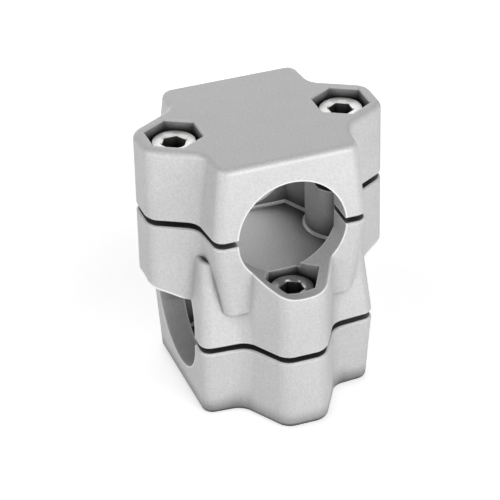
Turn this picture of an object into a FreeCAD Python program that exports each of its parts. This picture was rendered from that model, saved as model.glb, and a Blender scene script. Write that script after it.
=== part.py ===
"""Two-way cross clamp block for two round tubes of 30 mm, as a parametric document."""
import FreeCAD, Part
import math
import os

import Sketcher

document = FreeCAD.newDocument("cross_clamp_block")
sheet = document.addObject("Spreadsheet::Sheet", "Dims")

# Driving dimensions in millimetres and degrees
dimensions = [
    ("bore_radius", 15.0, "radius of the tube that each bore clamps"),
    ("axis_half_distance", 17.0, "from the mid plane to each bore axis"),
    ("half_height", 22.0, "from a bore axis to the flat outer face of its clamp half"),
    ("parting_gap", 1.6, "open gap between a clamp half and the middle body"),
    ("screw_offset", 23.5, "from the bore axis to each screw"),
    ("end_half_length", 24.8, "half length along the tube at the parting plane"),
    ("corner_half_width", 21.2, "half width across the tube at the end corners"),
    ("valley_half_width", 22.2, "half width where the wall meets the lobe"),
    ("lobe_apothem", 10.0, "from a screw to the flat walls of its lobe"),
    ("corner_round", 3.2, "round of the end corners"),
    ("valley_round", 5.0, "hollow between the wall and the lobe"),
    ("lobe_round", 5.0, "round of the lobe's corners"),
    ("cap_end_lean", 2.4, "lean of a clamp half's end walls in degrees"),
    ("cap_side_lean", 6.0, "lean of its side walls between the lobes and the corners"),
    ("middle_end_lean", 4.8, "lean of the middle body's end walls in degrees"),
    ("middle_side_lean", 8.0, "lean of its side walls between the lobes and the corners"),
    ("face_round", 1.8, "round around the flat outer face"),
    ("parting_edge", 0.5, "bevel along the parting edges"),
    ("front_land_length", 7.0, "length of the wall that grips the tube at the front end"),
    ("back_land_length", 9.4, "length of the wall that grips the tube at the back end"),
    ("relief_depth", 0.8, "how much deeper than the bore the relief between the lands is"),
    ("front_relief_half_width", 14.2, "half width of the relief at the front land"),
    ("back_relief_half_width", 13.2, "half width of the relief at the back land"),
    ("relief_side_slope", 63.5, "angle of the relief's slanted walls in degrees"),
    ("boss_radius", 9.8, "round wall of the relief around each screw"),
    ("pocket_flats", 13.6, "across flats of the hexagon pockets"),
    ("pocket_depth", 10.4, "depth of the pockets in a clamp half"),
    ("pocket_edge", 0.4, "bevel around the pockets of a clamp half"),
    ("middle_seat", 8.4, "from the mid plane to the pocket floors in the middle body"),
    ("upper_section_reach", 6.5, "how far the middle body's upper section passes the mid plane"),
    ("lower_section_reach", 8.5, "how far its lower section passes the mid plane"),
    ("section_foot_round", 1.2, "round under the end walls there"),
    ("hole_diameter", 9.0, "clearance hole for the screws"),
    ("thread_diameter", 8.0, "outer diameter of the screws"),
    ("tip_inset", 1.7, "from the screw's tip to the outer face of its nut"),
    ("head_diameter", 13.0, "diameter of the screw head"),
    ("head_height", 8.0, "height of the screw head"),
    ("head_edge", 0.8, "chamfer on top of the screw head"),
    ("socket_flats", 6.0, "across flats of the socket"),
    ("socket_depth", 4.0, "depth of the socket"),
    ("tip_chamfer", 0.9, "chamfer at the screw's tip"),
    ("nut_flats", 13.0, "across flats of the nuts"),
    ("nut_height", 6.5, "height of the nuts"),
    ("nut_face_diameter", 12.3, "round face inside the nut's chamfer"),
    ("nut_chamfer", 30.0, "slope of the nut's chamfer in degrees"),
    ("thread_clearance", 0.06, "radial play between a screw and its nut"),
]
for row, (alias, value, note) in enumerate(dimensions, start=1):
    sheet.set(f"A{row}", alias)
    sheet.set(f"B{row}", str(value))
    sheet.set(f"C{row}", note)
    sheet.setAlias(f"B{row}", alias)
document.recompute()

MID_HEIGHT = "(Dims.axis_half_distance + Dims.half_height)"
CAP_SEAT = "(Dims.half_height - Dims.pocket_depth)"
GRIP = f"(Dims.axis_half_distance + {CAP_SEAT} - Dims.middle_seat)"
SCREW_LENGTH = f"({GRIP} + Dims.nut_height - Dims.tip_inset)"


def origin_plane(body, role):
    return next(item for item in body.Origin.OriginFeatures if item.Role == role)


def new_sketch(body, name, role="XY_Plane", offset=None):
    sketch = body.newObject("Sketcher::SketchObject", name)
    sketch.AttachmentSupport = [(origin_plane(body, role), "")]
    sketch.MapMode = "FlatFace"
    if offset:
        sketch.setExpression("AttachmentOffset.Base.z", offset)
    return sketch


def bind(sketch, constraint, expression):
    """Adds a dimension to the sketch and binds it to the sheet."""
    index = sketch.addConstraint(constraint)
    name = f"size{index}"
    sketch.renameConstraint(index, name)
    sketch.setExpression(f"Constraints.{name}", expression)


def value_of(sketch, expression):
    result = sketch.evalExpression(expression)
    return float(getattr(result, "Value", result))


def pin_point(sketch, geometry, position, x_expression, y_expression):
    x = value_of(sketch, x_expression)
    y = value_of(sketch, y_expression)
    bind(sketch, Sketcher.Constraint("DistanceX", -1, 1, geometry, position, x), x_expression)
    bind(sketch, Sketcher.Constraint("DistanceY", -1, 1, geometry, position, y), y_expression)


def polygon(sketch, corners):
    """Closed polygon whose corners are pairs of expressions."""
    points = [FreeCAD.Vector(value_of(sketch, x), value_of(sketch, y), 0) for x, y in corners]
    count = len(points)
    lines = [sketch.addGeometry(Part.LineSegment(points[i], points[(i + 1) % count])) for i in range(count)]
    for i in range(count):
        sketch.addConstraint(Sketcher.Constraint("Coincident", lines[i], 2, lines[(i + 1) % count], 1))
    for line, (x, y) in zip(lines, corners):
        pin_point(sketch, line, 1, x, y)


def circle(sketch, x_expression, y_expression, radius_expression):
    centre = FreeCAD.Vector(value_of(sketch, x_expression), value_of(sketch, y_expression), 0)
    radius = value_of(sketch, radius_expression)
    index = sketch.addGeometry(Part.Circle(centre, FreeCAD.Vector(0, 0, 1), radius))
    bind(sketch, Sketcher.Constraint("Radius", index, radius), radius_expression)
    pin_point(sketch, index, 3, x_expression, y_expression)


def corner_arc(sketch, before, corner, after, radius):
    """Arc that rounds a corner: its number, and its start and end with their points."""
    backward = (before - corner).normalize()
    forward = (after - corner).normalize()
    half_angle = backward.getAngle(forward) / 2
    start = corner + backward * (radius / math.tan(half_angle))
    end = corner + forward * (radius / math.tan(half_angle))
    centre = corner + (backward + forward).normalize() * (radius / math.sin(half_angle))
    middle = centre + (corner - centre).normalize() * radius
    arc = sketch.addGeometry(Part.Arc(start, middle, end))
    turns_left = backward.cross(forward).z < 0
    return arc, (start, 1 if turns_left else 2), (end, 2 if turns_left else 1)


def rounded_outline(sketch, corners):
    """Closed outline. A corner is x, y and its radius as expressions, with no radius where it is sharp."""
    points = [FreeCAD.Vector(value_of(sketch, x), value_of(sketch, y), 0) for x, y, r in corners]
    following = points[1:] + points[:1]
    arcs, starts, ends = [], [], []
    for i, (x, y, r) in enumerate(corners):
        arc, start, end = None, (points[i], None), (points[i], None)
        if r:
            arc, start, end = corner_arc(sketch, points[i - 1], points[i], following[i], value_of(sketch, r))
        arcs.append(arc)
        starts.append(start)
        ends.append(end)
    next_starts = starts[1:] + starts[:1]
    lines = [sketch.addGeometry(Part.LineSegment(ends[i][0], next_starts[i][0])) for i in range(len(points))]
    for i, (x, y, r) in enumerate(corners):
        if r:
            corner = sketch.addGeometry(Part.Point(points[i]), True)
            sketch.addConstraint(Sketcher.Constraint("Tangent", lines[i - 1], 2, arcs[i], starts[i][1]))
            sketch.addConstraint(Sketcher.Constraint("Tangent", arcs[i], ends[i][1], lines[i], 1))
            bind(sketch, Sketcher.Constraint("Radius", arcs[i], value_of(sketch, r)), r)
            pin_point(sketch, corner, 1, x, y)
            sketch.addConstraint(Sketcher.Constraint("PointOnObject", corner, 1, lines[i - 1]))
            sketch.addConstraint(Sketcher.Constraint("PointOnObject", corner, 1, lines[i]))
        else:
            sketch.addConstraint(Sketcher.Constraint("Coincident", lines[i - 1], 2, lines[i], 1))
            pin_point(sketch, lines[i], 1, x, y)


LOBE_X = "(Dims.screw_offset + Dims.lobe_apothem)"
LOBE_Y = "(Dims.lobe_apothem * tan(30 deg))"
END_Y = "Dims.end_half_length"
VALLEY_Y = "((Dims.lobe_apothem + (Dims.screw_offset - Dims.valley_half_width) / 2) / cos(30 deg))"


def plan_corners():
    """The casting's plan: a block between two lobes, the same in all four quarters."""
    lobe = (LOBE_X, LOBE_Y, "Dims.lobe_round")
    valley = ("Dims.valley_half_width", VALLEY_Y, None)
    corner = ("Dims.corner_half_width", END_Y, None)
    quarter = [lobe, valley, corner]
    corners = []
    for x_sign, y_sign, order in (("", "", 1), ("-", "", -1), ("-", "-", 1), ("", "-", -1)):
        for x, y, r in quarter[::order]:
            corners.append((f"{x_sign}({x})", f"{y_sign}({y})", r))
    return corners


def hexagon(sketch, x, y, flats, flats_face_x=True):
    """Regular hexagon about the point x, y. Two of its flats face along X, or along Y."""
    corners = []
    for step in range(6):
        angle = 60 * step + (30 if flats_face_x else 0)
        radius = f"({flats}) / sqrt(3)"
        corners.append((f"{x} + {radius} * cos({angle} deg)", f"{y} + {radius} * sin({angle} deg)"))
    polygon(sketch, corners)


def add_feature(body, kind, name, sketch, length=None, through=False, reverse=False):
    feature = body.newObject(f"PartDesign::{kind}", name)
    feature.Profile = sketch
    feature.Reversed = reverse
    if through:
        feature.Type = "ThroughAll"
    else:
        feature.setExpression("Length", length)
    return feature


def flat_at(item, height):
    """Whether an edge or a face lies flat at one height of its own frame."""
    box = item.BoundBox
    return abs(box.ZMin - height) < FLAT and abs(box.ZMax - height) < FLAT


def edges_where(feature, test):
    return [f"Edge{number}" for number, edge in enumerate(feature.Shape.Edges, start=1) if test(edge)]


def faces_where(feature, test):
    return [f"Face{number}" for number, face in enumerate(feature.Shape.Faces, start=1) if test(face)]


def dress(body, kind, name, base, names, size):
    """Fillet or chamfer on named edges of the base feature."""
    feature = body.newObject(f"PartDesign::{kind}", name)
    feature.Base = (base, names)
    feature.setExpression("Radius" if kind == "Fillet" else "Size", size)
    document.recompute()
    return feature


def lean(body, name, base, walls, angle, height, reverse):
    """Leans walls inwards, away from the face at the given height."""
    feature = body.newObject("PartDesign::Draft", name)
    feature.Reversed = reverse
    feature.Base = (base, faces_where(base, walls))
    feature.NeutralPlane = (base, faces_where(base, lambda face: flat_at(face, height)))
    feature.setExpression("Angle", angle)
    document.recompute()
    return feature


def lean_and_round(body, name, base, piece, height, reverse=False):
    """Leans the end walls and the side walls, then rounds the edges that rise between the walls."""
    valley_x = value_of(base, "Dims.valley_half_width")
    valley_y = value_of(base, VALLEY_Y)
    beyond = value_of(base, f"({VALLEY_Y} + {END_Y}) / 2")

    def is_end(face):
        return face.BoundBox.YLength < FLAT

    def is_side(face):
        box = face.BoundBox
        inside = max(abs(box.XMin), abs(box.XMax)) < valley_x + FLAT
        return inside and min(abs(box.YMin), abs(box.YMax)) > valley_y - FLAT and box.YLength > 1

    def rises(edge):
        return edge.Curve.TypeId == "Part::GeomLine" and edge.BoundBox.ZLength > edge.BoundBox.YLength

    def at_corner(edge):
        return rises(edge) and min(abs(edge.BoundBox.YMin), abs(edge.BoundBox.YMax)) > beyond

    def at_valley(edge):
        middle = edge.BoundBox.Center
        return rises(edge) and abs(middle.x) < valley_x + FLAT and valley_y - 1 < abs(middle.y) < beyond

    shell = lean(body, f"{name}_side_lean", base, is_side, f"Dims.{piece}_side_lean * 1 deg", height, reverse)
    shell = lean(body, f"{name}_end_lean", shell, is_end, f"Dims.{piece}_end_lean * 1 deg", height, reverse)
    shell = dress(body, "Fillet", f"{name}_corners", shell, edges_where(shell, at_corner), "Dims.corner_round")
    return dress(body, "Fillet", f"{name}_valleys", shell, edges_where(shell, at_valley), "Dims.valley_round")


FLAT = 1e-4
TURNED_OVER = FreeCAD.Rotation(FreeCAD.Vector(1, 1, 0), 180)
PARTING = "Dims.parting_gap / 2"


def relief_sketch(body, name, offset):
    """Plan of the relief between the lands: slanted ends, and a round wall around each screw."""
    sketch = new_sketch(body, name, offset=offset)
    slope = math.radians(value_of(sketch, "Dims.relief_side_slope"))
    screw_x = value_of(sketch, "Dims.screw_offset")
    boss = value_of(sketch, "Dims.boss_radius")
    nearest = screw_x - boss
    run = FreeCAD.Vector(math.cos(slope), -math.sin(slope), 0)
    ends, meets = [], []
    for land, x_signs, y_sign in (("back", (1, -1), 1), ("front", (-1, 1), -1)):
        end_x = value_of(sketch, f"Dims.{land}_relief_half_width")
        end_y = value_of(sketch, f"Dims.end_half_length - Dims.{land}_land_length")
        to_end = FreeCAD.Vector(end_x - screw_x, end_y, 0)
        half = to_end.dot(run)
        reach = -half - math.sqrt(half * half - to_end.dot(to_end) + boss * boss)
        meet = FreeCAD.Vector(end_x, end_y, 0) + run * reach
        for x_sign in x_signs:
            ends.append(FreeCAD.Vector(x_sign * end_x, y_sign * end_y, 0))
            meets.append(FreeCAD.Vector(x_sign * meet.x, y_sign * meet.y, 0))
    back = sketch.addGeometry(Part.LineSegment(ends[0], ends[1]))
    back_left = sketch.addGeometry(Part.LineSegment(ends[1], meets[1]))
    left = sketch.addGeometry(Part.Arc(meets[1], FreeCAD.Vector(-nearest, 0, 0), meets[2]))
    front_left = sketch.addGeometry(Part.LineSegment(meets[2], ends[2]))
    front = sketch.addGeometry(Part.LineSegment(ends[2], ends[3]))
    front_right = sketch.addGeometry(Part.LineSegment(ends[3], meets[3]))
    right = sketch.addGeometry(Part.Arc(meets[3], FreeCAD.Vector(nearest, 0, 0), meets[0]))
    back_right = sketch.addGeometry(Part.LineSegment(meets[0], ends[0]))
    joins = [(back, 2, back_left, 1), (back_left, 2, left, 2), (left, 1, front_left, 1),
             (front_left, 2, front, 1), (front, 2, front_right, 1), (front_right, 2, right, 2),
             (right, 1, back_right, 1), (back_right, 2, back, 1)]
    for first, first_end, second, second_end in joins:
        sketch.addConstraint(Sketcher.Constraint("Coincident", first, first_end, second, second_end))
    for line, land, x_signs, y_sign in ((back, "back", ("", "-"), ""), (front, "front", ("-", ""), "-")):
        for point, x_sign in enumerate(x_signs, start=1):
            pin_point(sketch, line, point, f"{x_sign}Dims.{land}_relief_half_width",
                      f"{y_sign}(Dims.end_half_length - Dims.{land}_land_length)")
    for arc, sign in ((left, "-"), (right, "")):
        bind(sketch, Sketcher.Constraint("Radius", arc, boss), "Dims.boss_radius")
        pin_point(sketch, arc, 3, f"{sign}Dims.screw_offset", "0")
    for line, turns in ((back_left, "180 +"), (front_left, "-"), (front_right, ""), (back_right, "180 -")):
        slope_size = f"{turns} Dims.relief_side_slope"
        slope = math.radians(value_of(sketch, slope_size))
        bind(sketch, Sketcher.Constraint("Angle", line, slope), f"({slope_size}) * 1 deg")
    return sketch


def clamp_half(name):
    """Cap over one bore. Its own origin is on the bore axis, with the bore along Y."""
    body = document.addObject("PartDesign::Body", name)
    outline = new_sketch(body, f"{name}_outline", offset=PARTING)
    rounded_outline(outline, plan_corners())
    pad = add_feature(body, "Pad", f"{name}_pad", outline, f"Dims.half_height - {PARTING}")
    document.recompute()
    face = value_of(pad, "Dims.half_height")
    parting = value_of(pad, PARTING)
    shell = lean_and_round(body, name, pad, "cap", parting)
    outer = edges_where(shell, lambda edge: flat_at(edge, face))
    shell = dress(body, "Fillet", f"{name}_face_round", shell, outer, "Dims.face_round")
    rim = edges_where(shell, lambda edge: flat_at(edge, parting))
    shell = dress(body, "Chamfer", f"{name}_parting_edge", shell, rim, "Dims.parting_edge")
    relief = relief_sketch(body, f"{name}_relief_plan", PARTING)
    add_feature(body, "Pocket", f"{name}_relief", relief,
                f"Dims.bore_radius + Dims.relief_depth - {PARTING}", reverse=True)
    bore = new_sketch(body, f"{name}_bore_circle", "XZ_Plane")
    circle(bore, "0", "0", "Dims.bore_radius")
    cut = add_feature(body, "Pocket", f"{name}_bore", bore, through=True)
    cut.SideType = "Symmetric"
    document.recompute()
    pockets = new_sketch(body, f"{name}_pocket_plan", offset=CAP_SEAT)
    for side in ("-", ""):
        hexagon(pockets, f"{side}Dims.screw_offset", "0", "Dims.pocket_flats")
    cut = add_feature(body, "Pocket", f"{name}_pockets", pockets, through=True, reverse=True)
    document.recompute()
    screw_x = value_of(cut, "Dims.screw_offset")
    half_flats = value_of(cut, "Dims.pocket_flats / 2")

    def at_pocket(edge):
        middle = edge.BoundBox.Center
        return flat_at(edge, face) and abs(math.hypot(abs(middle.x) - screw_x, middle.y) - half_flats) < FLAT

    dress(body, "Chamfer", f"{name}_pocket_edges", cut, edges_where(cut, at_pocket), "Dims.pocket_edge")
    holes = new_sketch(body, f"{name}_hole_plan")
    for side in ("-", ""):
        circle(holes, f"{side}Dims.screw_offset", "0", "Dims.hole_diameter / 2")
    add_feature(body, "Pocket", f"{name}_holes", holes, through=True, reverse=True)
    document.recompute()
    return body


def section(body, name):
    """Upper half of the middle body's outside, from its parting plane to a little past the mid plane."""
    reach = f"Dims.{name}_reach"
    outline = new_sketch(body, f"{name}_outline", offset=f"Dims.axis_half_distance - {PARTING}")
    rounded_outline(outline, plan_corners())
    pad = add_feature(body, "Pad", f"{name}_pad", outline,
                      f"Dims.axis_half_distance - {PARTING} + {reach}", reverse=True)
    document.recompute()
    parting = value_of(pad, f"Dims.axis_half_distance - {PARTING}")
    foot = -value_of(pad, reach)
    shell = lean_and_round(body, name, pad, "middle", parting, reverse=True)
    under = edges_where(shell, lambda edge: flat_at(edge, foot))
    shell = dress(body, "Fillet", f"{name}_foot_round", shell, under, "Dims.section_foot_round")
    rim = edges_where(shell, lambda edge: flat_at(edge, parting))
    return dress(body, "Chamfer", f"{name}_parting_edge", shell, rim, "Dims.parting_edge")


def middle_body():
    """Block between the two clamp halves. Its own origin is on the mid plane."""
    lower_section = document.addObject("PartDesign::Body", "lower_section")
    section(lower_section, "lower_section")
    lower_section.Placement = FreeCAD.Placement(FreeCAD.Vector(), TURNED_OVER)
    body = document.addObject("PartDesign::Body", "middle_body")
    section(body, "upper_section")
    joined = body.newObject("PartDesign::Boolean", "joined_sections")
    joined.Type = "Fuse"
    joined.setObjects([lower_section])
    document.recompute()
    floor = "(Dims.axis_half_distance - Dims.bore_radius - Dims.relief_depth)"
    upper_relief = relief_sketch(body, "upper_relief_plan", floor)
    add_feature(body, "Pocket", "upper_relief", upper_relief, through=True, reverse=True)
    lower_relief = relief_sketch(body, "lower_relief_plan", f"-{floor}")
    lower_relief.AttachmentOffset = FreeCAD.Placement(lower_relief.AttachmentOffset.Base,
                                                     FreeCAD.Rotation(FreeCAD.Vector(0, 0, 1), -90))
    lower_relief.setExpression("AttachmentOffset.Base.z", f"-{floor}")
    add_feature(body, "Pocket", "lower_relief", lower_relief, through=True)
    for name, role, sign in (("upper_bore", "XZ_Plane", ""), ("lower_bore", "YZ_Plane", "-")):
        bore = new_sketch(body, f"{name}_circle", role)
        circle(bore, "0", f"{sign}Dims.axis_half_distance", "Dims.bore_radius")
        cut = add_feature(body, "Pocket", name, bore, through=True)
        cut.SideType = "Symmetric"
    head_pockets = new_sketch(body, "head_pocket_plan", offset="-Dims.middle_seat")
    nut_pockets = new_sketch(body, "nut_pocket_plan", offset="Dims.middle_seat")
    holes = new_sketch(body, "hole_plan", offset="-Dims.axis_half_distance")
    for side in ("-", ""):
        hexagon(head_pockets, "0", f"{side}Dims.screw_offset", "Dims.pocket_flats", flats_face_x=False)
        hexagon(nut_pockets, f"{side}Dims.screw_offset", "0", "Dims.pocket_flats")
        circle(holes, "0", f"{side}Dims.screw_offset", "Dims.hole_diameter / 2")
        circle(holes, f"{side}Dims.screw_offset", "0", "Dims.hole_diameter / 2")
    add_feature(body, "Pocket", "head_pockets", head_pockets, through=True, reverse=True)
    add_feature(body, "Pocket", "nut_pockets", nut_pockets, through=True)
    add_feature(body, "Pocket", "screw_holes", holes, through=True, reverse=True)
    body.setExpression("Placement.Base.z", MID_HEIGHT)
    document.recompute()
    return body


def screw(name):
    """Socket head cap screw. Its own origin is under the head, with the shank down -Z."""
    body = document.addObject("PartDesign::Body", name)
    profile = new_sketch(body, f"{name}_profile", "XZ_Plane")
    shank = "Dims.thread_diameter / 2"
    head = "Dims.head_diameter / 2"
    polygon(profile, [
        ("0", f"-{SCREW_LENGTH}"),
        (f"{shank} - Dims.tip_chamfer", f"-{SCREW_LENGTH}"),
        (shank, f"Dims.tip_chamfer - {SCREW_LENGTH}"),
        (shank, "0"),
        (head, "0"),
        (head, "Dims.head_height - Dims.head_edge"),
        (f"{head} - Dims.head_edge", "Dims.head_height"),
        ("0", "Dims.head_height"),
    ])
    turned = body.newObject("PartDesign::Revolution", f"{name}_turned")
    turned.Profile = profile
    turned.ReferenceAxis = (profile, ["V_Axis"])
    turned.Angle = 360
    socket = new_sketch(body, f"{name}_socket_plan", offset="Dims.head_height - Dims.socket_depth")
    hexagon(socket, "0", "0", "Dims.socket_flats")
    add_feature(body, "Pocket", f"{name}_socket", socket, through=True, reverse=True)
    document.recompute()
    return body


def nut(name):
    """Hexagon nut, chamfered outside. Its own origin is on the face that bears on the casting."""
    body = document.addObject("PartDesign::Body", name)
    plan = new_sketch(body, f"{name}_plan")
    hexagon(plan, "0", "0", "Dims.nut_flats")
    add_feature(body, "Pad", f"{name}_pad", plan, "Dims.nut_height", reverse=True)
    profile = new_sketch(body, f"{name}_chamfer_profile", "XZ_Plane")
    polygon(profile, [
        ("Dims.nut_face_diameter / 2", "-Dims.nut_height"),
        ("Dims.nut_flats", "-Dims.nut_height"),
        ("Dims.nut_flats", "(Dims.nut_flats - Dims.nut_face_diameter / 2) * tan(Dims.nut_chamfer * 1 deg)"
                           " - Dims.nut_height"),
    ])
    turned = body.newObject("PartDesign::Groove", f"{name}_chamfer")
    turned.Profile = profile
    turned.ReferenceAxis = (profile, ["V_Axis"])
    turned.Angle = 360
    hole = new_sketch(body, f"{name}_thread_circle")
    circle(hole, "0", "0", "Dims.thread_diameter / 2 + Dims.thread_clearance")
    add_feature(body, "Pocket", f"{name}_thread", hole, through=True)
    document.recompute()
    return body


def place(body, rotation, x="0", y="0", z="0"):
    body.Placement = FreeCAD.Placement(FreeCAD.Vector(), rotation)
    for axis, expression in (("x", x), ("y", y), ("z", z)):
        body.setExpression(f"Placement.Base.{axis}", expression)


UPRIGHT = FreeCAD.Rotation()
OVER = "Dims.screw_offset"
upper_half = clamp_half("upper_clamp_half")
place(upper_half, UPRIGHT, z=f"{MID_HEIGHT} + Dims.axis_half_distance")
lower_half = clamp_half("lower_clamp_half")
place(lower_half, TURNED_OVER, z="Dims.half_height")
middle = middle_body()
kept = [upper_half, middle, lower_half]

upper_seat = f"{MID_HEIGHT} + Dims.axis_half_distance + {CAP_SEAT}"
lower_seat = f"{MID_HEIGHT} - Dims.middle_seat"
upper_nut_seat = f"{MID_HEIGHT} + Dims.middle_seat"
lower_nut_seat = "Dims.pocket_depth"
# A screw or nut: name, function that makes it, turn about Z, x, y and z of its seat
hardware = [
    ("upper_screw_left", screw, 30, f"-{OVER}", "0", upper_seat),
    ("upper_screw_right", screw, 0, OVER, "0", upper_seat),
    ("lower_screw_front", screw, 0, "0", f"-{OVER}", lower_seat),
    ("lower_screw_back", screw, 17, "0", OVER, lower_seat),
    ("upper_nut_left", nut, 0, f"-{OVER}", "0", upper_nut_seat),
    ("upper_nut_right", nut, 0, OVER, "0", upper_nut_seat),
    ("lower_nut_front", nut, 30, "0", f"-{OVER}", lower_nut_seat),
    ("lower_nut_back", nut, 30, "0", OVER, lower_nut_seat),
]
for name, make, turn, x, y, z in hardware:
    body = make(name)
    place(body, FreeCAD.Rotation(FreeCAD.Vector(0, 0, 1), turn), x, y, z)
    kept.append(body)
document.recompute()

for thing in document.Objects:
    if "Invalid" in thing.State or "Error" in thing.State:
        raise RuntimeError(f"{thing.Name} failed: {thing.State}")
os.makedirs("parts", exist_ok=True)
for body in kept:
    if body.Shape.isNull() or not body.Shape.isValid() or len(body.Shape.Solids) != 1:
        raise RuntimeError(f"{body.Label} has no single valid solid")
    body.Shape.exportStep(f"parts/{body.Label}.step")
    box = body.Shape.BoundBox
    print(f"{body.Label}: {body.Shape.Volume:.0f} mm3, z {box.ZMin:.2f} to {box.ZMax:.2f}")
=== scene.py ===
import math

import bmesh
import bpy
from mathutils import Matrix, Quaternion, Vector


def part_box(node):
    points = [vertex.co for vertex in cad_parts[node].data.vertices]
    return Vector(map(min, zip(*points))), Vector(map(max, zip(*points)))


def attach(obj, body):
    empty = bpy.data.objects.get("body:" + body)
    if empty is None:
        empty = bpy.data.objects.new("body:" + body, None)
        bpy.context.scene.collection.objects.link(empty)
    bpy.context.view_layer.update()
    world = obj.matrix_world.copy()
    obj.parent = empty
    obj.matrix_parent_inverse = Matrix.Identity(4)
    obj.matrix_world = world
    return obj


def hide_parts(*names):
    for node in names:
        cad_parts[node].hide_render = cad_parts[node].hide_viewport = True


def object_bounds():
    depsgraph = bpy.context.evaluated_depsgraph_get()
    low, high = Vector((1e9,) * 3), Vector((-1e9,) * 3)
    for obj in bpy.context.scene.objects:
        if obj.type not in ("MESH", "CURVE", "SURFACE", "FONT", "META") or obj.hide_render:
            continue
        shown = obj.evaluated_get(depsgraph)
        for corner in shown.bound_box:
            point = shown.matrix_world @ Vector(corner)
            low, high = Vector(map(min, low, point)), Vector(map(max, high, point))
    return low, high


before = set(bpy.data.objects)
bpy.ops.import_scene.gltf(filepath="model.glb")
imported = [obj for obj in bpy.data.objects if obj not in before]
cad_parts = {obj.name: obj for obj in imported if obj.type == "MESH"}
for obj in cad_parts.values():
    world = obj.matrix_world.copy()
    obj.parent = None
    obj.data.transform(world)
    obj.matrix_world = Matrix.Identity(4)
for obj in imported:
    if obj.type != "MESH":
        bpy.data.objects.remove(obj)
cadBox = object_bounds()
millimetre = 0.001
print("Frame loaded with", len(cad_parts), "nodes")


# Small helpers

def addObject(name, data):
    item = bpy.data.objects.new(name, data)
    bpy.context.scene.collection.objects.link(item)
    return item


def addMesh(name, bm, material):
    mesh = bpy.data.meshes.new(name)
    bm.to_mesh(mesh)
    bm.free()
    mesh.materials.append(material)
    return addObject(name, mesh)


def finishPiece(name, bm, material, body, nodeNames):
    piece = addMesh(name, bm, material)
    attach(piece, body)
    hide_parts(*nodeNames)
    return piece


faceWeight = 100  # how far the large faces lead the shading, in percent


def smoothByAngle(piece, degrees):
    for polygon in piece.data.polygons:
        polygon.use_smooth = True
    piece.data.set_sharp_from_angle(angle=math.radians(degrees))
    weighted = piece.modifiers.new("faceWeights", "WEIGHTED_NORMAL")
    weighted.keep_sharp = True
    weighted.weight = faceWeight


# Materials

def nodeTree(material):
    material.use_nodes = True
    tree = material.node_tree
    return tree, tree.nodes["Principled BSDF"]


def newGroup(name, inputNames, outputNames):
    group = bpy.data.node_groups.new(name, "ShaderNodeTree")
    for direction, socketNames in (("INPUT", inputNames), ("OUTPUT", outputNames)):
        for socketName in socketNames:
            group.interface.new_socket(name=socketName, in_out=direction,
                                       socket_type="NodeSocketFloat")
    groupIn = group.nodes.new("NodeGroupInput")
    groupOut = group.nodes.new("NodeGroupOutput")
    return group, groupIn, groupOut


grainNoise = {"pitDetail": 3.0, "pitRoughness": 0.6, "cloudDetail": 4.0, "cloudRoughness": 0.55}


def buildGrainGroup():  # blasted or plated skin: fine pits, and slow clouds of shade
    group, groupIn, groupOut = newGroup("metalSkin", ("Pit Size", "Cloud Size", "Pit Share"),
                                        ("Height", "Shade"))
    nodes, links = group.nodes, group.links
    place = nodes.new("ShaderNodeTexCoord")

    def noiseOfSize(socketName, detail, roughness):  # the size comes in millimetres
        scale = nodes.new("ShaderNodeMath")
        scale.operation = "DIVIDE"
        scale.inputs[0].default_value = 1.0 / millimetre
        links.new(groupIn.outputs[socketName], scale.inputs[1])
        noise = nodes.new("ShaderNodeTexNoise")
        noise.inputs["Detail"].default_value = detail
        noise.inputs["Roughness"].default_value = roughness
        links.new(place.outputs["Object"], noise.inputs["Vector"])
        links.new(scale.outputs[0], noise.inputs["Scale"])
        return noise.outputs["Fac"]

    pits = noiseOfSize("Pit Size", grainNoise["pitDetail"], grainNoise["pitRoughness"])
    clouds = noiseOfSize("Cloud Size", grainNoise["cloudDetail"], grainNoise["cloudRoughness"])
    blend = nodes.new("ShaderNodeMix")
    links.new(groupIn.outputs["Pit Share"], blend.inputs["Factor"])
    links.new(clouds, blend.inputs["A"])
    links.new(pits, blend.inputs["B"])
    links.new(pits, groupOut.inputs["Height"])
    links.new(blend.outputs["Result"], groupOut.inputs["Shade"])
    return group


paintedLightSamples = 8
paintedLightMasks = [  # a mask starts and is full where the open share has fallen to these
    # Crevice paints shade into hollows, gaps and pockets; Edge paints a highlight along outer
    # edges
    {"name": "Crevice", "inside": False, "starts": 0.88, "full": 0.42},
    {"name": "Edge", "inside": True, "starts": 0.95, "full": 0.55},
]


def buildPaintedLightGroup():  # painted shade darkens crevices, gaps and pockets; a painted highlight lightens outer edges
    names = [mask["name"] for mask in paintedLightMasks]
    group, groupIn, groupOut = newGroup("metalPaintedLight", [name + " Reach" for name in names], names)
    for mask in paintedLightMasks:
        cover = group.nodes.new("ShaderNodeAmbientOcclusion")
        cover.inside = mask["inside"]
        cover.samples = paintedLightSamples
        group.links.new(groupIn.outputs[mask["name"] + " Reach"], cover.inputs["Distance"])
        strength = group.nodes.new("ShaderNodeMapRange")
        strength.inputs["From Min"].default_value = mask["starts"]
        strength.inputs["From Max"].default_value = mask["full"]
        group.links.new(cover.outputs["AO"], strength.inputs["Value"])
        group.links.new(strength.outputs["Result"], groupOut.inputs[mask["name"]])
    return group


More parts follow.
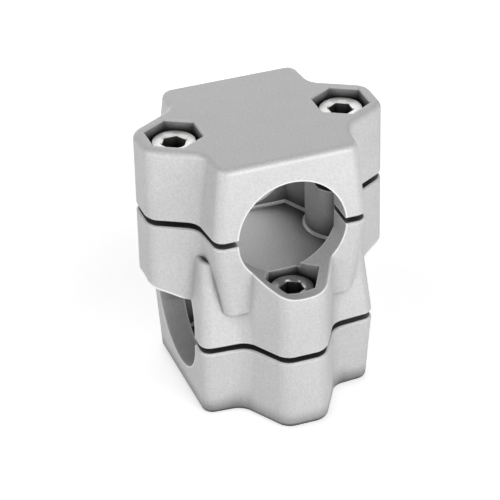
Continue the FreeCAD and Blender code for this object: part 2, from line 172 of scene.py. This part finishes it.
def buildMetal(name, look, grainGroup, paintedLightGroup):
    material = bpy.data.materials.new(name)
    tree, shader = nodeTree(material)
    nodes, links = tree.nodes, tree.links
    shader.inputs["Metallic"].default_value = look["metallic"]
    shader.inputs["Specular IOR Level"].default_value = look["specular"]
    skin = nodes.new("ShaderNodeGroup")
    skin.node_tree = grainGroup
    skin.inputs["Pit Size"].default_value = look["pitSize"]
    skin.inputs["Cloud Size"].default_value = look["cloudSize"]
    skin.inputs["Pit Share"].default_value = look["pitShare"]
    colour = nodes.new("ShaderNodeMix")
    colour.data_type = "RGBA"
    colour.inputs["A"].default_value = look["darkColour"]
    colour.inputs["B"].default_value = look["lightColour"]
    links.new(skin.outputs["Shade"], colour.inputs["Factor"])
    paintedLight = nodes.new("ShaderNodeGroup")
    paintedLight.node_tree = paintedLightGroup
    paintedLight.inputs["Crevice Reach"].default_value = look["creviceShadeReach"] * millimetre
    paintedLight.inputs["Edge Reach"].default_value = look["edgeHighlightReach"] * millimetre
    # painted highlight on outer edges, then painted shade in crevices, laid over the grain colour
    shown = colour
    for mask, paintedColourKey in (("Edge", "edgeHighlightColour"), ("Crevice", "creviceShadeColour")):
        layer = nodes.new("ShaderNodeMix")
        layer.data_type = "RGBA"
        layer.inputs["B"].default_value = look[paintedColourKey]
        links.new(paintedLight.outputs[mask], layer.inputs["Factor"])
        links.new(shown.outputs["Result"], layer.inputs["A"])
        shown = layer
    links.new(shown.outputs["Result"], shader.inputs["Base Color"])
    rough = nodes.new("ShaderNodeMapRange")
    rough.inputs["To Min"].default_value = look["roughnessLow"]
    rough.inputs["To Max"].default_value = look["roughnessHigh"]
    links.new(skin.outputs["Shade"], rough.inputs["Value"])
    links.new(rough.outputs["Result"], shader.inputs["Roughness"])
    bump = nodes.new("ShaderNodeBump")
    bump.inputs["Strength"].default_value = look["bumpStrength"]
    bump.inputs["Distance"].default_value = look["bumpDepth"] * millimetre
    links.new(skin.outputs["Height"], bump.inputs["Height"])
    links.new(bump.outputs["Normal"], shader.inputs["Normal"])
    return material


castLook = {  # sizes, reaches and depths in millimetres
    "metallic": 0.25, "specular": 0.3,
    "darkColour": (0.38, 0.38, 0.38, 1), "lightColour": (0.77, 0.77, 0.775, 1),
    "roughnessLow": 0.42, "roughnessHigh": 0.62,
    "pitSize": 0.6, "cloudSize": 14.0, "pitShare": 0.7,
    "bumpStrength": 0.8, "bumpDepth": 0.08,
    # painted shade: hollows, gaps and pockets darken towards the crevice colour
    "creviceShadeReach": 8.0, "creviceShadeColour": (0.04, 0.04, 0.04, 1),
    # painted highlight: outer edges lighten towards the edge colour
    "edgeHighlightReach": 0.65, "edgeHighlightColour": (0.93, 0.93, 0.93, 1),
}
filletHighlightLook = dict(  # the rounds at the foot of the reliefs, brighter than the rest: a painted highlight
    castLook, darkColour=(0.7, 0.7, 0.7, 1), lightColour=(0.95, 0.95, 0.95, 1), creviceShadeReach=0.8,
)
steelLook = {
    "metallic": 1.0, "specular": 0.5,
    "darkColour": (0.40, 0.40, 0.395, 1), "lightColour": (0.72, 0.72, 0.71, 1),
    "roughnessLow": 0.28, "roughnessHigh": 0.5,
    "pitSize": 0.5, "cloudSize": 5.0, "pitShare": 0.4,
    "bumpStrength": 0.25, "bumpDepth": 0.02,
    # painted shade: socket hollows and gaps darken towards the crevice colour
    "creviceShadeReach": 5.0, "creviceShadeColour": (0.03, 0.03, 0.03, 1),
    # painted highlight: outer edges lighten towards the edge colour
    "edgeHighlightReach": 0.4, "edgeHighlightColour": (0.90, 0.90, 0.90, 1),
}
grainGroup = buildGrainGroup()
paintedLightGroup = buildPaintedLightGroup()
castAluminium = buildMetal("castAluminium", castLook, grainGroup, paintedLightGroup)
castFilletHighlight = buildMetal("castFilletHighlight", filletHighlightLook, grainGroup, paintedLightGroup)
zincSteel = buildMetal("zincSteel", steelLook, grainGroup, paintedLightGroup)
print("Materials ready")


# Castings: the frame's own shape, merged, with the foot of each relief rounded
# and every sharp edge broken as blasting leaves it

castingShape = {
    "weld": 0.0005 * millimetre,
    "flatWithin": 0.2, "sharpFrom": 32.0, "smoothUnder": 35.0,  # degrees
    "edgeBreak": 0.22 * millimetre, "edgeSegments": 2,
    "boreAxisHeights": (56.0 * millimetre, 22.0 * millimetre),
    "reliefFloorFromAxis": 15.8 * millimetre, "planeWithin": 0.01 * millimetre,
    "reliefRound": 0.7 * millimetre, "reliefSegments": 3,
}


def onReliefFloor(edge):
    depth = castingShape["reliefFloorFromAxis"]
    heights = castingShape["boreAxisHeights"]
    floors = [axis + side * depth for axis in heights for side in (-1, 1)]
    within = castingShape["planeWithin"]
    return any(all(abs(vert.co.z - floor) < within for vert in edge.verts) for floor in floors)


def buildCasting(name, nodeName, body):
    bm = bmesh.new()
    bm.from_mesh(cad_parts[nodeName].data)
    bmesh.ops.remove_doubles(bm, verts=bm.verts, dist=castingShape["weld"])
    bmesh.ops.dissolve_limit(bm, angle_limit=math.radians(castingShape["flatWithin"]),
                             verts=bm.verts, edges=bm.edges, use_dissolve_boundaries=False)
    sharpFrom = math.radians(castingShape["sharpFrom"])
    feet = [edge for edge in bm.edges if edge.is_manifold and onReliefFloor(edge)
            and edge.calc_face_angle_signed(0) < -sharpFrom]
    rounds = bmesh.ops.bevel(bm, geom=feet, offset=castingShape["reliefRound"],
                             offset_type="OFFSET", affect="EDGES",
                             segments=castingShape["reliefSegments"], profile=0.5, material=-1,
                             clamp_overlap=False)
    for face in rounds["faces"]:
        face.material_index = 1  # the piece's second material, whose lighter colours paint a highlight on the rounds
    print(name, "relief edges", len(feet), "rounded in", len(rounds["faces"]), "faces")
    sharp = [edge for edge in bm.edges if edge.is_manifold and edge.calc_face_angle(0) > sharpFrom]
    bmesh.ops.bevel(bm, geom=sharp, offset=castingShape["edgeBreak"], offset_type="OFFSET",
                    affect="EDGES", segments=castingShape["edgeSegments"], profile=0.5,
                    material=-1, clamp_overlap=True)
    openEdges = sum(not edge.is_manifold for edge in bm.edges)
    print(name, "open edges", openEdges, "faces", len(bm.faces))
    piece = finishPiece(name, bm, castAluminium, body, [nodeName])
    piece.data.materials.append(castFilletHighlight)
    smoothByAngle(piece, castingShape["smoothUnder"])


buildCasting("upperHalfCasting", "upper_clamp_half", "upper_clamp")
buildCasting("middleCasting", "middle_body", "middle")
buildCasting("lowerHalfCasting", "lower_clamp_half", "lower_clamp")
print("Castings ready")


# Screws and nuts: the heads and nuts are stacks of rings, the thread is a spun profile

screwShape = {
    "socketFlats": 6.0 * millimetre, "socketDepth": 4.0 * millimetre,
    "socketMouth": 3.7 * millimetre, "socketBevel": 0.35 * millimetre,
    "drillCone": 1.0 * millimetre,
    "headHeight": 8.0 * millimetre, "headEdge": 0.8 * millimetre,
    "knurls": 60, "knurlDepth": 0.12 * millimetre, "knurlEnd": 1.0 * millimetre,
    "footBevel": 0.3 * millimetre, "seatLift": 0.01 * millimetre,
    "shankRadius": 4.0 * millimetre, "neckRadius": 3.9 * millimetre,
    "neckLength": 1.6 * millimetre, "tipChamfer": 0.9 * millimetre,
    "threadPitch": 1.25 * millimetre, "threadDepth": 0.62 * millimetre,
    "rootEnd": 1 / 8, "crestStart": 1 / 2, "crestEnd": 5 / 8,  # shares of the pitch
    "threadSteps": 36, "spareTurns": 2,
    "weld": 0.002 * millimetre, "planeWithin": 0.0001 * millimetre,
    "smoothUnder": 30.0,  # degrees
}
nutShape = {
    "flats": 13.0 * millimetre, "faceRadius": 6.15 * millimetre,
    "boreRadius": 4.05 * millimetre, "boreChamfer": 0.45 * millimetre,
    "segments": 48, "weld": 0.001 * millimetre,
    "chamferSlope": 30.0, "smoothUnder": 20.0,  # degrees
}


def hexagonReach(flats, turn):  # how far a hexagon reaches at an angle, one flat facing turn
    flatAngle = math.pi / 3

    def reach(angle):
        fromFlat = (angle - turn + flatAngle / 2) % flatAngle - flatAngle / 2
        return flats / 2 / math.cos(fromFlat)
    return reach


def growRings(bm, count, turn, steps):  # rings extruded one from another, by height and reach
    start = Matrix.Rotation(turn, 4, "Z")
    verts = bmesh.ops.create_circle(bm, segments=count, radius=1, matrix=start)["verts"]
    rings = []
    for height, reach in steps:
        if rings:
            grown = bmesh.ops.extrude_edge_only(bm, edges=rings[-1])["geom"]
            verts = [item for item in grown if isinstance(item, bmesh.types.BMVert)]
        for vert in verts:
            angle = math.atan2(vert.co.y, vert.co.x)
            vert.co.xy = vert.co.xy.normalized() * (reach(angle) if callable(reach) else reach)
            vert.co.z = height(angle) if callable(height) else height
        ring = set(verts)
        rings.append([edge for edge in bm.edges
                      if edge.verts[0] in ring and edge.verts[1] in ring])
    return rings


def closeWithCone(bm, edges, rise):
    filled = bmesh.ops.edgeloop_fill(bm, edges=edges)
    poked = bmesh.ops.poke(bm, faces=filled["faces"])
    bmesh.ops.translate(bm, verts=poked["verts"], vec=(0, 0, rise))


def buildHead(bm, shape, headRadius, socketTurn):
    count = shape["knurls"] * 2
    top, edge = shape["headHeight"], shape["headEdge"]
    foot, seat = shape["footBevel"], shape["seatLift"]
    socket = hexagonReach(shape["socketFlats"], socketTurn)

    def knurled(angle):
        ridge = round((angle - socketTurn) / (2 * math.pi) * count) % 2
        return headRadius - shape["knurlDepth"] * ridge

    rings = growRings(bm, count, socketTurn, [
        (top - shape["socketDepth"], socket), (top - shape["socketBevel"], socket),
        (top, shape["socketMouth"]), (top, headRadius - edge),
        (top - edge, knurled), (shape["knurlEnd"], knurled),
        (shape["knurlEnd"] - foot, headRadius), (foot, headRadius), (seat, headRadius - foot),
        (seat, shape["neckRadius"]), (-shape["neckLength"], shape["neckRadius"]),
    ])
    closeWithCone(bm, rings[0], -shape["drillCone"])
    closeWithCone(bm, rings[-1], 0)


def buildThread(shape, length):
    thread = bmesh.new()
    pitch, steps = shape["threadPitch"], shape["threadSteps"]
    outer = shape["shankRadius"]
    inner = outer - shape["threadDepth"]
    turns = math.ceil(length / pitch) + shape["spareTurns"]
    profile = [
        (inner, 0.0), (inner, pitch * shape["rootEnd"]), (outer, pitch * shape["crestStart"]),
        (outer, pitch * shape["crestEnd"]), (inner, pitch),
    ]
    verts = [thread.verts.new((reach, 0, rise - length - pitch)) for reach, rise in profile]
    edges = [thread.edges.new(pair) for pair in zip(verts, verts[1:])]
    bmesh.ops.spin(thread, geom=verts + edges, cent=(0, 0, 0), axis=(0, 0, 1),
                   dvec=(0, 0, pitch / steps), angle=2 * math.pi * turns, steps=steps * turns)
    bmesh.ops.remove_doubles(thread, verts=thread.verts, dist=shape["weld"])
    within = shape["planeWithin"]
    for height, normal in ((-length, (0, 0, -1)), (-shape["neckLength"], (0, 0, 1))):
        bmesh.ops.bisect_plane(thread, geom=thread.verts[:] + thread.edges[:] + thread.faces[:],
                               plane_co=(0, 0, height), plane_no=normal, clear_outer=True)
        rim = [item for item in thread.edges if item.is_boundary
               and all(abs(vert.co.z - height) < within for vert in item.verts)]
        bmesh.ops.edgeloop_fill(thread, edges=rim)
    for vert in thread.verts:
        radius = vert.co.xy.length
        allowed = outer - shape["tipChamfer"] + vert.co.z + length
        if radius > allowed:
            vert.co.xy *= allowed / radius
    return thread


def buildScrew(name, nodeName, body, socketTurn):
    low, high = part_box(nodeName)
    middle = (low + high) / 2
    seat = high.z - screwShape["headHeight"]
    bm = bmesh.new()
    buildHead(bm, screwShape, (high.x - low.x) / 2, socketTurn)
    thread = buildThread(screwShape, seat - low.z)
    threadMesh = bpy.data.meshes.new(name + "Thread")
    thread.to_mesh(threadMesh)
    thread.free()
    bm.from_mesh(threadMesh)
    bpy.data.meshes.remove(threadMesh)
    bmesh.ops.recalc_face_normals(bm, faces=bm.faces)
    bmesh.ops.translate(bm, verts=bm.verts, vec=(middle.x, middle.y, seat))
    piece = finishPiece(name, bm, zincSteel, body, [nodeName])
    smoothByAngle(piece, screwShape["smoothUnder"])


def buildNut(name, nodeName, body, turn):
    shape = nutShape
    low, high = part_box(nodeName)
    middle = (low + high) / 2
    top = high.z - low.z
    slope = math.tan(math.radians(shape["chamferSlope"]))
    outline = hexagonReach(shape["flats"], turn)
    bore, mouth = shape["boreRadius"], shape["boreRadius"] + shape["boreChamfer"]

    def chamfer(angle):
        return slope * (outline(angle) - shape["faceRadius"])

    bm = bmesh.new()
    growRings(bm, shape["segments"], turn, [
        (shape["boreChamfer"], bore), (0, mouth), (0, shape["faceRadius"]),
        (chamfer, outline), (lambda angle: top - chamfer(angle), outline),
        (top, shape["faceRadius"]), (top, mouth), (top - shape["boreChamfer"], bore),
        (shape["boreChamfer"], bore),
    ])
    bmesh.ops.remove_doubles(bm, verts=bm.verts, dist=shape["weld"])
    bmesh.ops.recalc_face_normals(bm, faces=bm.faces)
    bmesh.ops.translate(bm, verts=bm.verts, vec=(middle.x, middle.y, low.z))
    piece = finishPiece(name, bm, zincSteel, body, [nodeName])
    smoothByAngle(piece, shape["smoothUnder"])


screws = [  # piece, node, body and turn of its socket in degrees
    ("upperScrewLeft", "upper_screw_left", "left_screw", 30),
    ("upperScrewRight", "upper_screw_right", "right_screw", 0),
    ("lowerScrewFront", "lower_screw_front", "front_screw", 0),
    ("lowerScrewBack", "lower_screw_back", "back_screw", 17),
]
for name, nodeName, body, socketDegrees in screws:
    buildScrew(name, nodeName, body, math.radians(socketDegrees))
nuts = [  # piece, node, body and turn in degrees
    ("upperNutLeft", "upper_nut_left", "middle", 0),
    ("upperNutRight", "upper_nut_right", "middle", 0),
    ("lowerNutFront", "lower_nut_front", "lower_clamp", 30),
    ("lowerNutBack", "lower_nut_back", "lower_clamp", 30),
]
for name, nodeName, body, turnDegrees in nuts:
    buildNut(name, nodeName, body, math.radians(turnDegrees))
print("Screws and nuts ready")


# Floor, light and camera

stageLook = {
    "floorSize": 6.0, "floorDrop": 0.03 * millimetre,
    "floorColour": (0.84, 0.84, 0.84, 1), "floorRoughness": 0.9, "floorSpecular": 0.0,
    "nearFloor": 0.06, "nearGlow": 0.6,  # the floor's glow rises with the distance from the
    "farFloor": 0.24, "farGlow": 1.0,    # object's middle in metres; 1 is white
    "worldAmbient": 0.08, "worldSeen": 1.0,
}


def seenRays(tree):  # 1 for camera, mirror and see-through rays, 0 for the light on the object
    rays = tree.nodes.new("ShaderNodeLightPath")
    seen = rays.outputs["Is Camera Ray"]
    for kind in ("Is Glossy Ray", "Is Transmission Ray"):
        either = tree.nodes.new("ShaderNodeMath")
        either.operation = "MAXIMUM"
        tree.links.new(seen, either.inputs[0])
        tree.links.new(rays.outputs[kind], either.inputs[1])
        seen = either.outputs[0]
    return seen


def buildFloor():
    material = bpy.data.materials.new("paleFloor")
    tree, shader = nodeTree(material)
    shader.inputs["Base Color"].default_value = stageLook["floorColour"]
    shader.inputs["Roughness"].default_value = stageLook["floorRoughness"]
    shader.inputs["Specular IOR Level"].default_value = stageLook["floorSpecular"]
    place = tree.nodes.new("ShaderNodeTexCoord")
    fromObject = tree.nodes.new("ShaderNodeVectorMath")
    fromObject.operation = "LENGTH"
    tree.links.new(place.outputs["Object"], fromObject.inputs[0])
    whitening = tree.nodes.new("ShaderNodeMapRange")
    whitening.inputs["From Min"].default_value = stageLook["nearFloor"]
    whitening.inputs["From Max"].default_value = stageLook["farFloor"]
    whitening.inputs["To Min"].default_value = stageLook["nearGlow"]
    whitening.inputs["To Max"].default_value = stageLook["farGlow"]
    tree.links.new(fromObject.outputs["Value"], whitening.inputs["Value"])
    glow = tree.nodes.new("ShaderNodeMath")
    glow.operation = "MULTIPLY"
    tree.links.new(seenRays(tree), glow.inputs[0])
    tree.links.new(whitening.outputs["Result"], glow.inputs[1])
    shader.inputs["Emission Color"].default_value = (1, 1, 1, 1)
    tree.links.new(glow.outputs[0], shader.inputs["Emission Strength"])
    bm = bmesh.new()
    bmesh.ops.create_grid(bm, x_segments=1, y_segments=1, size=stageLook["floorSize"] / 2)
    floor = addMesh("floor", bm, material)
    floor.location.z = cadBox[0].z - stageLook["floorDrop"]


def buildWorld():
    world = bpy.data.worlds.new("paleRoom")
    bpy.context.scene.world = world
    world.use_nodes = True
    tree = world.node_tree
    background = tree.nodes["Background"]
    background.inputs["Color"].default_value = (1, 1, 1, 1)
    strength = tree.nodes.new("ShaderNodeMix")
    strength.inputs["A"].default_value = stageLook["worldAmbient"]
    strength.inputs["B"].default_value = stageLook["worldSeen"]
    tree.links.new(seenRays(tree), strength.inputs["Factor"])
    tree.links.new(strength.outputs["Result"], background.inputs["Strength"])


lamps = [  # place in object heights from the object's middle, size in metres, power in watts
    {"name": "frontRight", "place": (1.3, -5.0, 1.0), "size": 0.35, "power": 1.54},
    {"name": "lowLeft", "place": (-4.8, -1.5, 0.8), "size": 0.4, "power": 0.9},
    {"name": "backLow", "place": (0.3, 5.0, 0.6), "size": 0.4, "power": 0.42},
    {"name": "backHigh", "place": (1.5, 4.5, 2.5), "size": 0.5, "power": 0.53},
]


def buildLamps():  # each lamp aims at the object's middle
    low, high = cadBox
    middle = (low + high) / 2
    height = high.z - low.z
    for lamp in lamps:
        data = bpy.data.lights.new(lamp["name"], "AREA")
        data.shape = "SQUARE"
        data.size = lamp["size"]
        data.energy = lamp["power"]
        item = addObject(lamp["name"], data)
        item.location = middle + Vector(lamp["place"]) * height
        item.rotation_euler = (middle - item.location).to_track_quat("-Z", "Y").to_euler()


photoCamera = {
    "leftOfFront": 19.76, "above": 32.30, "roll": -1.36,  # degrees
    "distance": 0.67288, "aimX": -0.00309, "aimBelowMiddle": 0.00189,  # metres
    "focalLength": 178.33, "sensor": 36.0,  # millimetres
    "clipStart": 0.01, "clipEnd": 50.0,  # metres
}


def buildCamera():
    low, high = cadBox
    aimHeight = (low.z + high.z) / 2 - photoCamera["aimBelowMiddle"]
    aim = Vector((photoCamera["aimX"], 0, aimHeight))
    across, up = math.radians(photoCamera["leftOfFront"]), math.radians(photoCamera["above"])
    level = math.cos(up)
    back = Vector((-math.sin(across) * level, -math.cos(across) * level, math.sin(up)))
    data = bpy.data.cameras.new("photoCamera")
    data.lens = photoCamera["focalLength"]
    data.sensor_width = photoCamera["sensor"]
    data.clip_start, data.clip_end = photoCamera["clipStart"], photoCamera["clipEnd"]
    camera = addObject("photoCamera", data)
    camera.location = aim + back * photoCamera["distance"]
    roll = Quaternion((0, 0, 1), math.radians(photoCamera["roll"]))
    camera.rotation_euler = ((-back).to_track_quat("-Z", "Y") @ roll).to_euler()
    bpy.context.scene.camera = camera


buildFloor()
buildWorld()
buildLamps()
buildCamera()
bpy.context.scene.view_settings.view_transform = "Standard"
print("Stage ready")
